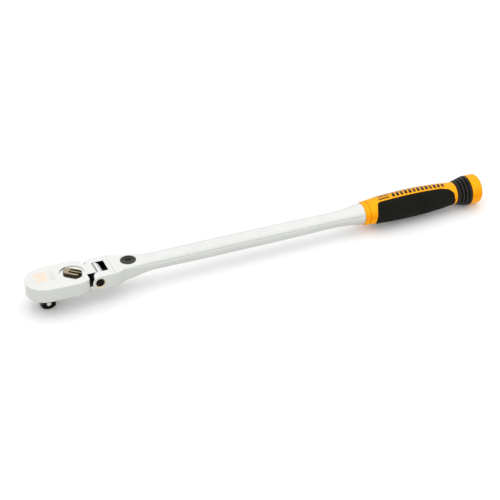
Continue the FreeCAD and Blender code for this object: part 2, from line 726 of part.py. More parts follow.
def make_shank():
    body = new_body("handle_shank")
    block = new_sketch(body, "clevis_block", "XZ_Plane")
    draw_polygon(block, [("dims.pin_axis", "-dims.clevis_half"),
                         ("dims.clevis_end", "-dims.clevis_half"),
                         ("dims.clevis_end", "dims.clevis_half"),
                         ("dims.pin_axis", "dims.clevis_half")])
    extrude(body, "Pad", block, "2 * dims.clevis_half_width", midplane=True)
    nose = new_sketch(body, "clevis_nose", "XZ_Plane", shift_x="dims.pin_axis")
    draw_circle(nose, "dims.clevis_half")
    extrude(body, "Pad", nose, "2 * dims.clevis_half_width", midplane=True)
    wide = size("dims.clevis_half_width")
    end = size("dims.clevis_end")
    dress(body, "Fillet", lambda b: near(abs(b.YMin), wide) and near(b.YLength, 0)
          and not near(b.XMin, end), "dims.clevis_edge")

    sections = []
    for number, (x, half_width, half_height, corner) in enumerate(NECK):
        section = new_sketch(body, f"neck_section_{number}", "YZ_Plane", lift=str(x))
        draw_rounded_rectangle(section, half_width, half_height, corner)
        sections.append(section)
    neck = body.newObject("PartDesign::AdditiveLoft", "neck")
    neck.Profile = sections[0]
    neck.Sections = sections[1:]

    bar = new_sketch(body, "bar_profile", "XZ_Plane")
    curve = Part.BSplineCurve()
    curve.interpolate([Vector(x, radius, 0) for x, radius in BAR])
    bar.addGeometry(curve)
    start = Vector(BAR[0][0], BAR[0][1], 0)
    end = Vector(BAR[-1][0], BAR[-1][1], 0)
    tang = size("dims.tang_radius")
    tang_end = size("dims.tang_end")
    corners = [end, Vector(end.x, tang, 0), Vector(tang_end, tang, 0),
               Vector(tang_end, 0, 0), Vector(start.x, 0, 0), start]
    for first, second in zip(corners, corners[1:]):
        bar.addGeometry(Part.LineSegment(first, second))
    spin(body, "Revolution", bar, "H_Axis")

    window = new_sketch(body, "clevis_window")
    draw_polygon(window, [("dims.pin_axis - 10", "-dims.window_half_width"),
                          ("dims.window_end", "-dims.window_half_width"),
                          ("dims.window_end", "dims.window_half_width"),
                          ("dims.pin_axis - 10", "dims.window_half_width")])
    extrude(body, "Pocket", window, "4 * dims.clevis_half", midplane=True)
    bores = new_sketch(body, "pin_bores", "XZ_Plane", shift_x="dims.pin_axis")
    draw_circle(bores, "dims.pin_radius + 0.01")
    extrude(body, "Pocket", bores, "4 * dims.clevis_half_width", midplane=True)
    dress(body, "Chamfer", lambda b: near(abs(b.YMin), wide) and near(b.YLength, 0)
          and near(b.ZLength, 2 * size("dims.pin_radius + 0.01")), "dims.pin_chamfer")

    groove = new_sketch(body, "cross_groove", "XZ_Plane", shift_x="dims.cross_groove")
    draw_polygon(groove, [("-dims.cross_groove_half_width", "dims.clevis_half + 0.5"),
                          ("-dims.cross_groove_half_width",
                           "dims.clevis_half - dims.cross_groove_depth"),
                          ("dims.cross_groove_half_width",
                           "dims.clevis_half - dims.cross_groove_depth"),
                          ("dims.cross_groove_half_width", "dims.clevis_half + 0.5")])
    extrude(body, "Pocket", groove, "4 * dims.clevis_half_width", midplane=True)

    bore = new_sketch(body, "button_bore", "XZ_Plane", shift_x="dims.button_axis")
    draw_polygon(bore, [("0", "12"), ("dims.button_bore_radius", "12"),
                        ("dims.button_bore_radius", "dims.button_ring_top + 0.05"),
                        ("dims.button_ring_radius + 0.05", "dims.button_ring_top + 0.05"),
                        ("dims.button_ring_radius + 0.05", "dims.button_ring_bottom - 0.05"),
                        ("dims.button_bore_radius", "dims.button_ring_bottom - 0.05"),
                        ("dims.button_bore_radius", "dims.button_bore_floor"),
                        ("0", "dims.button_bore_floor")])
    spin(body, "Groove", bore, "V_Axis")
    channel = new_sketch(body, "plunger_channel", "YZ_Plane", lift="dims.window_end - 1")
    draw_circle(channel, "dims.plunger_bore_radius")
    extrude(body, "Pocket", channel, "dims.plunger_bore_end - dims.window_end + 1",
            backwards=True)
    finish(body, "handle_shank")


def make_hinge_pin():
    pin = new_body("hinge_pin")
    rod = new_sketch(pin, "pin_rod", "XZ_Plane", shift_x="dims.pin_axis")
    draw_circle(rod, "dims.pin_radius")
    extrude(pin, "Pad", rod, "2 * dims.pin_end", midplane=True)
    dress(pin, "Chamfer", lambda b: near(b.YLength, 0), "0.5")
    finish(pin, "hinge_pin")


# ---- lock -------------------------------------------------------------------------------------

# Stepped rings on top of the lock button: distance in from its rim, depth below its top.
BUTTON_RINGS = [(0, 0.5), (0.5, 0), (1.2, 0), (1.6, 0.6), (2.2, 0.6), (2.6, 0.3), (3.2, 0.3),
                (3.6, 0.9)]


def make_lock_button():
    body = new_body("lock_button")
    form = new_sketch(body, "button_form", "XZ_Plane")
    shoulder = "dims.button_ring_bottom - 0.1"
    outline = [("0", "dims.button_bottom"), ("dims.button_flange_radius", "dims.button_bottom"),
               ("dims.button_flange_radius", shoulder), ("dims.button_radius", shoulder)]
    outline += [(f"dims.button_radius - {inward}", f"dims.button_top - {depth}")
                for inward, depth in BUTTON_RINGS]
    draw_polygon(form, outline + [("0", f"dims.button_top - {BUTTON_RINGS[-1][1]} - 0.1")])
    spin(body, "Revolution", form, "V_Axis")
    slot = new_sketch(body, "button_slot", "XZ_Plane")
    draw_polygon(slot, [("-10", "dims.button_bottom - 1"), ("10", "dims.button_bottom - 1"),
                        ("10", "dims.button_slot_top"), ("-10", "dims.button_slot_top")])
    extrude(body, "Pocket", slot, "dims.button_slot_width", midplane=True)
    hole = new_sketch(body, "cross_pin_hole", "XZ_Plane", shift_y="dims.cross_pin_height")
    draw_circle(hole, "dims.cross_pin_radius")
    extrude(body, "Pocket", hole, "dims.cross_pin_length", midplane=True)
    finish(body, "lock_button", "dims.button_axis")

    pin = new_body("button_cross_pin")
    rod = new_sketch(pin, "cross_pin_rod", "XZ_Plane", shift_y="dims.cross_pin_height")
    draw_circle(rod, "dims.cross_pin_radius")
    extrude(pin, "Pad", rod, "dims.cross_pin_length", midplane=True)
    finish(pin, "button_cross_pin", "dims.button_axis")


def make_lock_plunger():
    body = new_body("lock_plunger")
    face = "dims.pin_axis + dims.head_half + dims.plunger_gap"
    rod = new_sketch(body, "plunger_rod", "YZ_Plane", lift=face)
    draw_circle(rod, "dims.plunger_radius")
    extrude(body, "Pad", rod, f"dims.plunger_end - ({face})")
    tail = new_sketch(body, "plunger_tail")
    start = "dims.plunger_tail_start"
    end = "dims.plunger_end + 5"
    for side in ("", "-"):
        flat = f"{side}dims.plunger_tail_half_width"
        draw_polygon(tail, [(start, flat), (end, flat), (end, f"{side}6"), (start, f"{side}6")])
    extrude(body, "Pocket", tail, "12", midplane=True)

    underside = new_sketch(body, "plunger_underside", "XZ_Plane")
    draw_polygon(underside, [(start, "dims.plunger_tail_bottom"), (start, "-6"), (end, "-6"),
                             (end, "dims.plunger_tail_bottom")])
    extrude(body, "Pocket", underside, "12", midplane=True)

    teeth = new_sketch(body, "plunger_tooth_spaces", "XZ_Plane", shift_x=face)
    pitch = "dims.head_half * sin(180deg / (dims.lock_positions - 1) / 2)"
    for side in ("", "-"):
        middle = f"{side}{pitch}"
        draw_polygon(teeth, [("-0.1", f"{middle} - dims.plunger_groove_mouth"),
                             ("dims.plunger_groove_depth",
                              f"{middle} - dims.plunger_groove_root"),
                             ("dims.plunger_groove_depth",
                              f"{middle} + dims.plunger_groove_root"),
                             ("-0.1", f"{middle} + dims.plunger_groove_mouth")])
    extrude(body, "Pocket", teeth, "12", midplane=True)

    ramp = new_sketch(body, "ramp_slot", "XZ_Plane", shift_x="dims.button_axis")
    run = "dims.plunger_travel / dims.button_travel"
    high = "dims.plunger_radius + 1"
    high_shift = f"({high} - dims.cross_pin_height) * {run}"
    low_shift = f"(dims.ramp_bottom - dims.cross_pin_height) * {run}"
    draw_polygon(ramp, [(f"dims.ramp_half_width + {high_shift}", high),
                        (f"-dims.ramp_half_width + {high_shift}", high),
                        (f"-dims.ramp_half_width + {low_shift}", "dims.ramp_bottom"),
                        (f"dims.ramp_half_width + {low_shift}", "dims.ramp_bottom")])
    extrude(body, "Pocket", ramp, "12", midplane=True)
    finish(body, "lock_plunger")


# ---- grip -------------------------------------------------------------------------------------

# Radius of the grip at distances along the tool, from the collar to the ribbed ring.
GRIP = [
    (318.2, 11.7), (324.0, 12.45), (333.0, 13.15), (345.0, 13.65), (362.0, 13.9),
    (380.0, 13.55), (398.0, 12.4), (413.0, 10.9),
]


def turned_grip(name, shrink):
    """Solid of the grip's outline turned about the tool's axis, smaller by the given amount."""
    body = new_body(name)
    profile = new_sketch(body, f"{name}_profile", "XZ_Plane")
    curve = Part.BSplineCurve()
    curve.interpolate([Vector(x, radius - shrink, 0) for x, radius in GRIP])
    profile.addGeometry(curve)
    corners = [curve.EndPoint, Vector(curve.EndPoint.x, 0, 0),
               Vector(curve.StartPoint.x, 0, 0), curve.StartPoint]
    for first, second in zip(corners, corners[1:]):
        profile.addGeometry(Part.LineSegment(first, second))
    spin(body, "Revolution", profile, "H_Axis")
    return body


def make_grip():
    outside = turned_grip("grip_outside", 0)
    inside = turned_grip("grip_inside", size("dims.panel_depth"))

    shell = doc.addObject("Part::Cut", "panel_shell")
    shell.Base = outside
    shell.Tool = inside
    region = new_body("panel_region")
    side = new_sketch(region, "panel_length", "XZ_Plane")
    draw_polygon(side, [("dims.panel_start", "-20"), ("dims.panel_end", "-20"),
                        ("dims.panel_end", "20"), ("dims.panel_start", "20")])
    extrude(region, "Pad", side, "60", midplane=True)
    spine = new_sketch(region, "spine_opening")
    half = "dims.spine_half_width"
    draw_polygon(spine, [("dims.panel_start - 1", "-20"),
                         ("dims.panel_start + 0.6", "-12"),
                         ("dims.panel_start + 2.6", f"-{half} - 1.6"),
                         ("dims.panel_start + 5", f"-{half}"),
                         ("dims.panel_end - 14", f"-{half}"),
                         ("dims.panel_end - 6", f"-{half} - 1.6"),
                         ("dims.panel_end - 1.4", f"-{half} - 4.6"),
                         ("dims.panel_end + 1", "-20"),
                         ("dims.panel_end + 1", "20"),
                         ("dims.panel_end - 1.4", f"{half} + 4.6"),
                         ("dims.panel_end - 6", f"{half} + 1.6"),
                         ("dims.panel_end - 14", half),
                         ("dims.panel_start + 5", half),
                         ("dims.panel_start + 2.6", f"{half} + 1.6"),
                         ("dims.panel_start + 0.6", "12"),
                         ("dims.panel_start - 1", "20")])
    extrude(region, "Pocket", spine, "30", backwards=True)
    panel = doc.addObject("Part::Common", "panel_whole")
    panel.Base = shell
    panel.Tool = region
    finish(panel, "grip_panel")

    turned = new_body("grip_turned")
    profile = new_sketch(turned, "grip_turned_profile", "XZ_Plane")
    groove = "dims.collar_radius - dims.collar_groove"
    draw_polygon(profile, [("dims.grip_start", "0"), ("dims.grip_start", "dims.grip_nose_radius"),
                           ("dims.grip_start + 0.8", "dims.grip_nose_radius + 0.7"),
                           ("dims.collar_end", "dims.collar_radius"),
                           ("dims.collar_end + 0.3", groove), ("dims.grip_front + 0.5", groove),
                           ("dims.grip_front + 0.5", "dims.grip_tail_radius"),
                           ("dims.grip_tail_end", "dims.grip_tail_radius"),
                           ("dims.grip_tail_end", "0")])
    spin(turned, "Revolution", profile, "H_Axis")
    whole = doc.addObject("Part::Fuse", "grip_whole")
    whole.Base = outside
    whole.Tool = turned
    bore = doc.addObject("Part::Cylinder", "grip_bore")
    bore.setExpression("Radius", "dims.tang_radius + 0.01")
    bore.setExpression("Height", "dims.tang_end - dims.grip_start + 1.1")
    bore.Placement = FreeCAD.Placement(Vector(size("dims.grip_start") - 1, 0, 0),
                                       FreeCAD.Rotation(Vector(0, 1, 0), 90))
    bored = doc.addObject("Part::Cut", "grip_bored")
    bored.Base = whole
    bored.Tool = bore
    panel_space = doc.addObject("Part::Common", "panel_space")
    panel_space.Base = shell
    panel_space.Tool = region
    core = doc.addObject("Part::Cut", "grip_core_whole")
    core.Base = bored
    core.Tool = panel_space
    finish(core, "grip_core")


# Front edge and radius of each rib of the ribbed ring.
RIBS = [(414.3, 12.0), (417.9, 12.9), (421.5, 13.8), (425.1, 14.5)]


def make_ribbed_ring():
    body = new_body("ribbed_ring")
    profile = new_sketch(body, "ring_profile", "XZ_Plane")
    ribs = [("dims.grip_end + 0.1", "dims.grip_tail_radius + 0.01"),
            ("dims.grip_end + 0.1", "11.0")]
    for x, radius in RIBS:
        ribs += [(str(x), str(radius - 0.8)), (str(x + 0.5), str(radius)),
                 (str(x + 2.1), str(radius + 0.15)), (str(x + 2.6), str(radius - 0.65))]
    ribs += [("dims.ring_end", "dims.cap_radius - 1"),
             ("dims.ring_end", "dims.grip_tail_radius + 0.01")]
    draw_polygon(profile, ribs)
    spin(body, "Revolution", profile, "H_Axis")
    finish(body, "ribbed_ring")


def make_end_cap():
    body = new_body("end_cap")
    profile = new_sketch(body, "cap_profile", "XZ_Plane")
    draw_polygon(profile, [("dims.ring_end + 0.1", "dims.grip_tail_radius + 0.01"),
                           ("dims.ring_end + 0.1", "dims.cap_radius"),
                           ("dims.tool_end", "dims.cap_radius"),
                           ("dims.tool_end", "0"),
                           ("dims.grip_tail_end + 0.05", "0"),
                           ("dims.grip_tail_end + 0.05", "dims.grip_tail_radius + 0.01")])
    spin(body, "Revolution", profile, "H_Axis")
    radius = size("dims.cap_radius")
    end = size("dims.tool_end")
    dress(body, "Fillet", lambda b: near(b.ZMax, radius) and near(b.XMin, end), "dims.cap_edge")
    finish(body, "end_cap")


make_head()
make_cover_plate()
make_open_ring("cover_snap_ring", "dims.cover_ring_bore", "dims.cover_ring_radius",
               "dims.cover_groove_bottom + 0.03", "dims.cover_groove_top - 0.03", "-165", "165")
make_drive_gear()
make_detent_ball()
make_pawl()
make_lever()
make_lever_plunger()
make_lever_seal()
make_open_ring("lever_retaining_ring", "dims.lever_ring_bore + 0.05", "dims.lever_ring_radius",
               "dims.lever_ring_bottom + dims.lever_ring_play",
               "dims.lever_ring_top - dims.lever_ring_play", "-155", "155", "dims.lever_axis")
make_shank()
make_hinge_pin()
make_lock_button()
make_open_ring("button_retaining_ring", "dims.button_ring_bore", "dims.button_ring_radius",
               "dims.button_ring_bottom", "dims.button_ring_top", "20", "340",
               "dims.button_axis")
make_lock_plunger()
make_grip()
make_ribbed_ring()
make_end_cap()

mid = size("dims.drive_reach")
lean = math.radians(size("dims.lever_rest_angle"))
inward = Vector(math.cos(lean), math.sin(lean), 0)
coil("detent_spring",
     Vector(0, size("dims.detent_spring_start"), mid + size("dims.detent_height")),
     Vector(0, 1, 0))
coil("lever_spring",
     Vector(size("dims.lever_axis"), 0, mid) + inward * size("dims.lever_spring_start"), inward)
coil("lock_button_spring",
     Vector(size("dims.button_axis"), 0, mid + size("dims.button_bore_floor") + 0.1),
     Vector(0, 0, 1))
coil("lock_plunger_spring", Vector(size("dims.plunger_end") + 0.2, 0, mid), Vector(1, 0, 0))

doc.recompute()
for item in doc.Objects:
    if "Invalid" in item.State or "Error" in item.State:
        raise RuntimeError(f"{item.Name} did not recompute: {item.State}")
for part in finished:
    if part.Shape.isNull() or not part.Shape.isValid():
        raise RuntimeError(f"{part.Label} has no valid shape")
    part.Shape.exportStep(os.path.join("parts", f"{part.Label}.step"))
print(len(finished), "parts written")
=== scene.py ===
import json
import math

import bmesh
import bpy
from mathutils import Matrix, Vector
from mathutils.bvhtree import BVHTree


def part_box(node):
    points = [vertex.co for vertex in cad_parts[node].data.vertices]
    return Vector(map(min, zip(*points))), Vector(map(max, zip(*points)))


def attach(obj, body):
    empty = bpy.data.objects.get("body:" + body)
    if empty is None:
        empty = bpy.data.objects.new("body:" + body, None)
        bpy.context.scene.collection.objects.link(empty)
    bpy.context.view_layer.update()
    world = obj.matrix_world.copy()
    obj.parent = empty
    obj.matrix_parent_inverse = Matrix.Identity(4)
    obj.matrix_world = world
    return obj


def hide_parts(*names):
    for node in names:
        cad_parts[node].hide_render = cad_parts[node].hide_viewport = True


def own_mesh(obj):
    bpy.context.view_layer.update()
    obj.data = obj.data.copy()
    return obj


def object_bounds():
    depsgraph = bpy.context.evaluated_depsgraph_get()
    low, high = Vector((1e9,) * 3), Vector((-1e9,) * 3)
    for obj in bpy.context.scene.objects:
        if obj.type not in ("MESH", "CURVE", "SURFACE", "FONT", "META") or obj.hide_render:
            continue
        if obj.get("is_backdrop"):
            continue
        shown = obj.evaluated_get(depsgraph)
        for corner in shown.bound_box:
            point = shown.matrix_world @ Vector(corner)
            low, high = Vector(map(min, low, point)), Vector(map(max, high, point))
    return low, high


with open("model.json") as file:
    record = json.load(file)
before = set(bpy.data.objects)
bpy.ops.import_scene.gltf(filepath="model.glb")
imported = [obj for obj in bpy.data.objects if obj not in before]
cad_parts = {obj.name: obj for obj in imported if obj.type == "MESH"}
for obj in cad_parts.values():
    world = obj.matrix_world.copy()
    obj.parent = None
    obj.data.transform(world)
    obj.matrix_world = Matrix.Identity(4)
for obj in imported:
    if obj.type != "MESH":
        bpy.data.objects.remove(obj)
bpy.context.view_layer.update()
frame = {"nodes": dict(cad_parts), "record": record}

MM = 0.001
nodes = frame["nodes"]


# ---- materials --------------------------------------------------------------------------------

class Look:
    """A procedural material: noise layers on object coordinates that feed one Principled shader."""

    def __init__(self, name, **settings):
        self.material = bpy.data.materials.new(name)
        self.material.use_nodes = True
        self.tree = self.material.node_tree
        self.shader = self.tree.nodes["Principled BSDF"]
        coordinates = self.add("ShaderNodeTexCoord")
        self.place = coordinates.outputs["Object"]
        self.facing = coordinates.outputs["Normal"]
        for key, value in settings.items():
            self.shader.inputs[key.replace("_", " ")].default_value = value

    def add(self, kind, **settings):
        node = self.tree.nodes.new(kind)
        for key, value in settings.items():
            setattr(node, key, value)
        return node

    def link(self, source, target):
        self.tree.links.new(source, target)

    def stretched(self, scale):
        mapping = self.add("ShaderNodeMapping")
        mapping.inputs["Scale"].default_value = scale
        self.link(self.place, mapping.inputs["Vector"])
        return mapping.outputs["Vector"]

    def noise(self, scale, detail=3.0, roughness=0.55, stretch=(1, 1, 1)):
        node = self.add("ShaderNodeTexNoise")
        node.inputs["Scale"].default_value = scale
        node.inputs["Detail"].default_value = detail
        node.inputs["Roughness"].default_value = roughness
        self.link(self.stretched(stretch), node.inputs["Vector"])
        return node.outputs["Fac"]

    def cells(self, scale, feature="F1"):
        node = self.add("ShaderNodeTexVoronoi", feature=feature)
        node.inputs["Scale"].default_value = scale
        self.link(self.place, node.inputs["Vector"])
        return node.outputs["Distance"]

    def uprightness(self):
        """One on faces that stand upright, falling to zero on level ones."""
        split = self.add("ShaderNodeSeparateXYZ")
        self.link(self.facing, split.inputs["Vector"])
        level = self.combine("ABSOLUTE", split.outputs["Z"], 0.0)
        return self.remap(level, 0.0, 0.75, 1.0, 0.0)

    def remap(self, value, low, high, to_low, to_high):
        node = self.add("ShaderNodeMapRange")
        for key, number in zip(("From Min", "From Max", "To Min", "To Max"),
                               (low, high, to_low, to_high)):
            node.inputs[key].default_value = number
        self.link(value, node.inputs["Value"])
        return node.outputs["Result"]

    def combine(self, operation, first, second):
        node = self.add("ShaderNodeMath", operation=operation)
        for socket, value in zip(node.inputs, (first, second)):
            if isinstance(value, (int, float)):
                socket.default_value = value
            else:
                self.link(value, socket)
        return node.outputs["Value"]

    def blend_colours(self, factor, first, second):
        node = self.add("ShaderNodeMix", data_type="RGBA")
        self.link(factor, node.inputs["Factor"])
        for socket, value in ((node.inputs["A"], first), (node.inputs["B"], second)):
            if isinstance(value, tuple):
                socket.default_value = (*value, 1)
            else:
                self.link(value, socket)
        return node.outputs["Result"]

    def bump(self, height, strength, distance, under=None):
        node = self.add("ShaderNodeBump")
        node.inputs["Strength"].default_value = strength
        node.inputs["Distance"].default_value = distance
        self.link(height, node.inputs["Height"])
        if under is not None:
            self.link(under, node.inputs["Normal"])
        return node.outputs["Normal"]

    def set(self, socket, value):
        self.link(value, self.shader.inputs[socket])


def linear(red, green, blue):
    """Linear colour of an sRGB triple given in 0 to 255."""
    return tuple(((c / 255 + 0.055) / 1.055) ** 2.4 if c > 10 else c / 3294.6
                 for c in (red, green, blue))


def metal(name, light, dark, roughness, spread, grain, stretch=(1, 1, 1), relief=0.00001,
          painted_wall_shade=None):
    """Metal with cloudy tone, uneven polish and fine lines along one direction.

    Faces that stand upright may take a darker tone of their own: painted shade that stands in for
    the shade on their sides.
    """
    look = Look(name, Metallic=1.0)
    tone = look.remap(look.noise(60, 4), 0.35, 0.65, 0.0, 1.0)
    colour = look.blend_colours(tone, light, dark)
    if painted_wall_shade is not None:
        colour = look.blend_colours(look.uprightness(), colour, painted_wall_shade)
    look.set("Base Color", colour)
    lines = look.noise(grain, 5, 0.6, stretch)
    smudges = look.noise(180, 4)
    polish = look.combine("ADD", look.remap(lines, 0.3, 0.7, 0.0, spread * 0.5),
                          look.remap(smudges, 0.4, 0.7, roughness, roughness + spread * 0.5))
    look.set("Roughness", polish)
    look.set("Normal", look.bump(lines, 0.25, relief))
    return look.material


def moulded(name, light, dark, roughness, grain, relief, specular=0.5, level=None):
    """Moulded plastic or rubber with a fine pebble grain and slightly uneven colour.

    Faces that lie level may take a lighter tone of their own: painted light that stands in for the
    light falling on the tops.
    """
    look = Look(name)
    look.shader.inputs["Specular IOR Level"].default_value = specular
    tone = look.remap(look.noise(90, 5), 0.35, 0.65, 0.0, 1.0)
    colour = look.blend_colours(tone, light, dark)
    if level is not None:
        colour = look.blend_colours(look.uprightness(), level, colour)
    look.set("Base Color", colour)
    pebbles = look.cells(grain)
    look.set("Roughness", look.remap(look.noise(400, 4), 0.3, 0.7, roughness - 0.06,
                                     roughness + 0.06))
    look.set("Normal", look.bump(pebbles, 0.35, relief))
    return look.material


# Chrome: upright faces take a darker tone, painted shade on the sides.
chrome = metal("polished_chrome", (0.73, 0.74, 0.72), (0.7, 0.71, 0.69), 0.1, 0.08, 900,
               (0.06, 1, 1), 0.000004, painted_wall_shade=(0.57, 0.585, 0.55))
# Darker chrome for the lever recess wall: painted shade.
recess_shade = metal("painted_recess_shade", (0.3, 0.3, 0.29), (0.2, 0.2, 0.19), 0.25, 0.1, 900)
black_steel = metal("black_oxide_steel", (0.034, 0.032, 0.028), (0.022, 0.02, 0.018), 0.3, 0.2,
                    1500)
deep_black = metal("black_drive_steel", (0.014, 0.0135, 0.012), (0.008, 0.0075, 0.007), 0.3, 0.2,
                   1500)
bare_steel = metal("ground_steel", (0.62, 0.6, 0.55), (0.5, 0.48, 0.44), 0.22, 0.15, 1500,
                   (1, 0.1, 1))
ball_steel = metal("ball_steel", (0.66, 0.63, 0.57), (0.58, 0.55, 0.5), 0.12, 0.08, 1200)
spring_steel = metal("spring_steel", (0.5, 0.5, 0.48), (0.4, 0.4, 0.38), 0.3, 0.15, 2000)
# Lever nickel: upright faces take a near-black tone, painted shade on the lever's side walls.
dark_nickel = metal("dark_nickel", (0.4, 0.33, 0.225), (0.24, 0.195, 0.125), 0.2, 0.16, 1300,
                    painted_wall_shade=(0.05, 0.04, 0.026))
# Brownish tint for the pin-hole chamfers.
chamfer_tint = metal("brown_chamfer_tint", (0.74, 0.66, 0.46), (0.66, 0.57, 0.38), 0.55, 0.1, 1500)
# Lighter rough steel on the tongue teeth is painted highlight; its darker copy in the tongue
# grooves is painted shade.
painted_lit_tooth_steel = metal("painted_lit_tooth_steel", (0.86, 0.87, 0.85), (0.78, 0.79, 0.77), 0.6, 0.15, 1500,
                    (1, 0.1, 1))
painted_shade_groove_steel = metal("painted_shade_groove_steel", (0.5, 0.51, 0.5), (0.4, 0.41, 0.4), 0.6, 0.15, 1500,
                     (1, 0.1, 1))
# Near-black for the window, button hole, tongue sides and lever slots: painted shade, and painted
# dark reflection on the tongue sides.
cavity_shade = metal("painted_cavity_shade", (0.012, 0.012, 0.011), (0.004, 0.004, 0.004), 0.35, 0.2, 1200)
# Orange plastic: level faces get a lighter, yellower tone, painted light on the tops.
orange = moulded("orange_plastic", linear(214, 134, 0), linear(208, 127, 0), 0.42, 2600,
                 0.00002, specular=0.06, level=linear(232, 158, 20))
ring_rubber = moulded("ribbed_rubber", (0.012, 0.0115, 0.0098), (0.009, 0.0085, 0.007), 0.42,
                      2200, 0.00002, specular=0.2)
# Darker rubber for the ring's rib grooves: painted shade.
painted_groove_shade_rubber = moulded("painted_groove_shade_rubber", (0.004, 0.004, 0.003), (0.002, 0.002, 0.0015), 0.7,
                        2200, 0.00002, specular=0.02)
rubber = moulded("black_grip_rubber", (0.007, 0.007, 0.0042), (0.0045, 0.0045, 0.003), 0.62, 2200,
                 0.00005, specular=0.08)
# Lighter black for the rings on the lock button's rim and step.
lighter_ring_black = metal("lighter_button_ring", (0.1, 0.097, 0.088), (0.075, 0.072, 0.064), 0.3, 0.15, 1500)
button_black = metal("button_black", (0.023, 0.021, 0.018), (0.016, 0.015, 0.013), 0.3, 0.15,
                     1500)
seal = moulded("seal_rubber", (0.02, 0.02, 0.02), (0.014, 0.014, 0.014), 0.5, 3000, 0.00001)
black_print = moulded("black_print", (0.01, 0.01, 0.008), (0.006, 0.006, 0.005), 0.45, 3000,
                      0.000005, specular=0.15)
orange_print = moulded("orange_print", linear(244, 190, 150), linear(240, 180, 135), 0.4, 3000,
                       0.000005)
grey_print = moulded("grey_print", linear(196, 198, 194), linear(186, 188, 184), 0.35, 3000,
                     0.000005)

finishes = {
    "chrome": chrome, "black_steel": black_steel, "bare_steel": bare_steel,
    "spring_steel": spring_steel, "dark_nickel": dark_nickel, "orange_plastic": orange,
    "black_rubber": rubber, "seal_rubber": seal,
}
own_finish = {
    "drive_gear": deep_black, "hinge_pin": deep_black, "detent_ball": ball_steel,
    "lock_plunger": black_steel, "lock_button": button_black, "ribbed_ring": ring_rubber,
}
for entry in frame["record"]["subparts"]:
    mesh = nodes[entry["node"]].data
    mesh.materials.clear()
    mesh.materials.append(own_finish.get(entry["node"], finishes[entry["material_slot"]]))


def repaint(node, material, inside):
    """Give another material to the faces whose centre passes a test."""
    piece = nodes[node]
    piece.data.materials.append(material)
    index = len(piece.data.materials) - 1
    for face in piece.data.polygons:
        if inside(piece.matrix_world @ face.center):
            face.material_index = index


def middle_of(node):
    """Middle of a node's box."""
    first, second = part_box(node)
    return (first + second) / 2


def radius_of(node):
    """Radius of a round node, from its extent along the tool."""
    first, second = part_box(node)
    return (second.x - first.x) / 2


pin = middle_of("hinge_pin")
pin_radius = radius_of("hinge_pin")
head_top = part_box("head_body")[1].z
head_half = head_top - pin.z
button_axis = middle_of("lock_button")
button_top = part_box("lock_button")[1].z
button_hole = radius_of("lock_button") + 0.15 * MM
button_radius = button_hole - 0.78 * MM
ring_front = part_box("ribbed_ring")[0].x
window_half = 8.17 * MM
window_end = pin.x + 10.2 * MM
tongue_half = 8 * MM
tongue_front = pin.x - 9.3 * MM
teeth_front = pin.x - 0.8 * MM
pin_well = 15.25 * MM
rib_pitch = 3.6 * MM
hair = 0.05 * MM


def from_pin(point):
    """Distance from the hinge axis."""
    return math.hypot(point.x - pin.x, point.z - pin.z)


def in_window(point):
    return abs(point.y) < window_half + hair and point.x < window_end


def in_button_hole(point):
    reach = math.hypot(point.x - button_axis.x, point.y)
    return reach < button_hole and pin.z - 7 * MM < point.z < head_top - hair


def on_pin_chamfer(point):
    return abs(point.y) > pin_well and from_pin(point) < pin_radius + 1 * MM


def on_tongue_side(point):
    return point.x > tongue_front and abs(abs(point.y) - tongue_half) < 2 * hair


def on_tongue_tooth(point):
    return (point.x > teeth_front and abs(point.y) < tongue_half - hair
            and from_pin(point) > head_half - 3 * hair)


def in_tongue_groove(point):
    deep = pin_radius + 6 * hair < from_pin(point) < head_half - 0.08 * MM
    return point.x > teeth_front and abs(point.y) < tongue_half - 2 * hair and deep


def on_button_ring(point):
    inward = button_radius - math.hypot(point.x - button_axis.x, point.y)
    rim = -0.1 * MM < inward < 1.25 * MM
    step = 2.2 * MM < inward < 3.25 * MM
    return point.z > button_top - 0.7 * MM and (rim or step)


def in_rib_groove(point):
    along = (point.x - ring_front - 1.2 * MM) % rib_pitch
    return point.x > ring_front + 1 * MM and along > 2.2 * MM


# Painted shade: near-black in the window and the button hole.
repaint("handle_shank", cavity_shade, lambda p: in_window(p) or in_button_hole(p))
# Painted shade in the ring's rib grooves.
repaint("ribbed_ring", painted_groove_shade_rubber, in_rib_groove)
# Lighter rings on the button's rim and step.
repaint("lock_button", lighter_ring_black, on_button_ring)
# Brownish tint on the pin-hole chamfers.
repaint("handle_shank", chamfer_tint, on_pin_chamfer)
# Painted highlight on the tongue teeth.
repaint("head_body", painted_lit_tooth_steel, on_tongue_tooth)
# Painted dark reflection on the tongue sides.
repaint("head_body", cavity_shade, on_tongue_side)
# Painted shade in the tongue grooves.
repaint("head_body", painted_shade_groove_steel, in_tongue_groove)

lever_axis = middle_of("lever_seal")
lever_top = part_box("reversing_lever")[1].z
lever_turn = Matrix.Rotation(math.radians(40), 3, "Z")


def in_thumb_slot(point):
    place = lever_turn @ (point - lever_axis)
    return (place.x > -2.3 * MM and 0.7 * MM < abs(place.y) < 3.1 * MM
            and lever_top - 1.85 * MM < point.z < lever_top - 0.2 * MM)


def on_recess_wall(point):
    reach = math.hypot(point.x - lever_axis.x, point.y)
    side = point.x - lever_axis.x
    return (11.3 * MM < reach < 11.6 * MM and side < -3 * MM
            and head_top - 1.2 * MM < point.z < head_top - hair)


# Painted shade in the lever's thumb slots.
repaint("reversing_lever", cavity_shade, in_thumb_slot)
# Painted shade on the lever recess wall.
repaint("head_body", recess_shade, on_recess_wall)


# ---- printed marks ----------------------------------------------------------------------------

def surface_of(node):
    """Search tree of a node's faces in the frame's own coordinates."""
    piece = nodes[node]
    corners = [piece.matrix_world @ vertex.co for vertex in piece.data.vertices]
    return BVHTree.FromPolygons(corners, [face.vertices for face in piece.data.polygons])


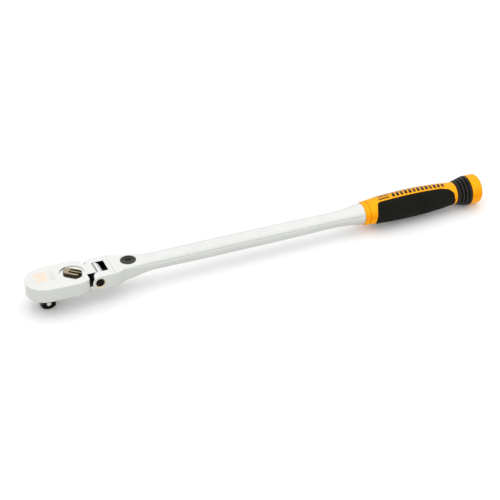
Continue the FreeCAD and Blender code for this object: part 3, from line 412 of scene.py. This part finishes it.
def print_marks(name, body, surface, marks, material, lift=0.03 * MM, steps=4):
    """Thin four-sided marks laid on a surface from above; each mark is four (x, y) corners."""
    builder = bmesh.new()
    for first, second, third, fourth in marks:
        rows = []
        for i in range(steps + 1):
            start = first.lerp(fourth, i / steps)
            end = second.lerp(third, i / steps)
            row = []
            for j in range(steps + 1):
                spot = start.lerp(end, j / steps)
                place, normal, _, _ = surface.ray_cast(Vector((spot.x, spot.y, 1)),
                                                       Vector((0, 0, -1)))
                row.append(builder.verts.new(place + normal * lift))
            rows.append(row)
        for low_row, high_row in zip(rows, rows[1:]):
            for j in range(steps):
                builder.faces.new((low_row[j], low_row[j + 1], high_row[j + 1], high_row[j]))
    bmesh.ops.recalc_face_normals(builder, faces=builder.faces)
    mesh = bpy.data.meshes.new(name)
    builder.to_mesh(mesh)
    builder.free()
    piece = bpy.data.objects.new(name, mesh)
    bpy.context.scene.collection.objects.link(piece)
    mesh.materials.append(material)
    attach(piece, body)


def slanted_bar(x, y, length, width, slant):
    """Corners of a bar that runs across the tool, its far end shifted along the tool."""
    near_y = y - width / 2
    far_y = y + width / 2
    return (Vector((x, near_y)), Vector((x + length, near_y)),
            Vector((x + length + slant, far_y)), Vector((x + slant, far_y)))


grip_surface = surface_of("grip_core")
head_surface = surface_of("head_body")
grip_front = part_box("grip_panel")[0].x
bars = [slanted_bar(grip_front + (20.5 + 4.5 * i) * MM, 0, 2.9 * MM, 6.4 * MM, 1.2 * MM)
        for i in range(13)]
badge = [slanted_bar(grip_front + 5.8 * MM, -1.9 * MM, 11.5 * MM, 1.7 * MM, 0.4 * MM),
         slanted_bar(grip_front + 6.8 * MM, 1.9 * MM, 11.5 * MM, 1.7 * MM, 0.4 * MM)]
print_marks("grip_bars", "handle", grip_surface, badge + bars, black_print)
hatch = [slanted_bar((-9.3 + 1.9 * i) * MM, 3.5 * MM, 0.7 * MM, 15 * MM, 1.4 * MM)
         for i in range(6)]
print_marks("head_hatching", "head", head_surface, hatch, orange_print)
lines = [slanted_bar((3.5 + 1.5 * i) * MM, 3 * MM, 0.6 * MM, 16 * MM, 0.8 * MM) for i in range(4)]
print_marks("head_lines", "head", head_surface, lines, grey_print)


# ---- spring stand-ins --------------------------------------------------------------------------

def shorten_spring(spring):
    """Stand-in for a coil spring: a copy of its mesh on the spring's body, with the node hidden."""
    node = spring["node"]
    coil = bpy.data.objects.new(node + "_coil", nodes[node].data.copy())
    bpy.context.scene.collection.objects.link(coil)
    coil.matrix_world = nodes[node].matrix_world
    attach(coil, body_of[node])
    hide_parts(node)
    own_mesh(coil)


behaviour = frame["record"]["behaviour"]
body_of = {label: body for body, members in behaviour["bodies"].items() for label in members}
for joint in behaviour["joints"]:
    for spring in joint.get("deforming_nodes", []):
        shorten_spring(spring)


# ---- floor, light and camera ------------------------------------------------------------------

def make_floor():
    """White paper that touches the drive square and the end cap."""
    cap_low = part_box("end_cap")[0].z
    tilt = math.atan2(cap_low, middle_of("end_cap").x)
    mesh = bpy.data.meshes.new("floor")
    grid = bmesh.new()
    bmesh.ops.create_grid(grid, x_segments=1, y_segments=1, size=6)
    grid.to_mesh(mesh)
    grid.free()
    floor = bpy.data.objects.new("floor", mesh)
    bpy.context.scene.collection.objects.link(floor)
    floor.matrix_world = Matrix.Translation((0, 0, -0.2 * MM)) @ Matrix.Rotation(-tilt, 4, "Y")
    floor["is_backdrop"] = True
    paper = Look("white_paper", Roughness=0.9)
    paper.set("Base Color", paper.blend_colours(paper.noise(30, 3), (0.81, 0.81, 0.81),
                                                (0.79, 0.79, 0.79)))
    mesh.materials.append(paper.material)


def make_sky(stops, strength):
    """Studio surroundings whose grey level depends on the height above the horizon."""
    world = bpy.data.worlds.new("studio")
    bpy.context.scene.world = world
    world.use_nodes = True
    sky = world.node_tree
    direction = sky.nodes.new("ShaderNodeTexCoord")
    parts = sky.nodes.new("ShaderNodeSeparateXYZ")
    sky.links.new(direction.outputs["Generated"], parts.inputs["Vector"])
    ramp = sky.nodes.new("ShaderNodeValToRGB")
    sky.links.new(parts.outputs["Z"], ramp.inputs["Fac"])
    first, last = ramp.color_ramp.elements
    first.position, last.position = stops[0][0], stops[-1][0]
    first.color = (*[stops[0][1]] * 3, 1)
    last.color = (*[stops[-1][1]] * 3, 1)
    for position, level in stops[1:-1]:
        stop = ramp.color_ramp.elements.new(position)
        stop.color = (level, level, level, 1)
    sky.links.new(ramp.outputs["Color"], sky.nodes["Background"].inputs["Color"])
    sky.nodes["Background"].inputs["Strength"].default_value = strength


def soft_box(name, place, aim, width, depth, power):
    """Rectangular studio light that faces a point."""
    light = bpy.data.lights.new(name, "AREA")
    light.shape = "RECTANGLE"
    light.size = width
    light.size_y = depth
    light.energy = power
    lamp = bpy.data.objects.new(name, light)
    bpy.context.scene.collection.objects.link(lamp)
    lamp.location = place
    lamp.visible_glossy = False
    lamp.rotation_euler = (Vector(aim) - Vector(place)).to_track_quat("-Z", "Y").to_euler()


def make_camera(place, right, up, lens):
    """Camera whose frame has the given right and up directions."""
    data = bpy.data.cameras.new("camera")
    data.lens = lens
    data.sensor_width = 36
    camera = bpy.data.objects.new("camera", data)
    bpy.context.scene.collection.objects.link(camera)
    turn = Matrix((right, up, right.cross(up))).transposed()
    camera.matrix_world = Matrix.Translation(place) @ turn.to_4x4()
    bpy.context.scene.camera = camera


make_floor()
make_sky([(0.0, 0.42), (0.05, 0.48), (0.1, 0.84), (0.45, 1.0), (0.8, 1.0)], 1.25)
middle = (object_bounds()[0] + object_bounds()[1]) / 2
soft_box("overhead", (0.2, 0.3, 1.3), middle, 1.4, 1.0, 3)
soft_box("front", (0.2, -0.9, 0.25), middle, 1.2, 0.3, 3.5)

make_camera((-0.2326, -1.0166, 0.7225), Vector((0.9212, -0.3891, 0)),
            Vector((0.2112, 0.4999, 0.8399)), 100.8)
bpy.context.scene.view_settings.view_transform = "Standard"
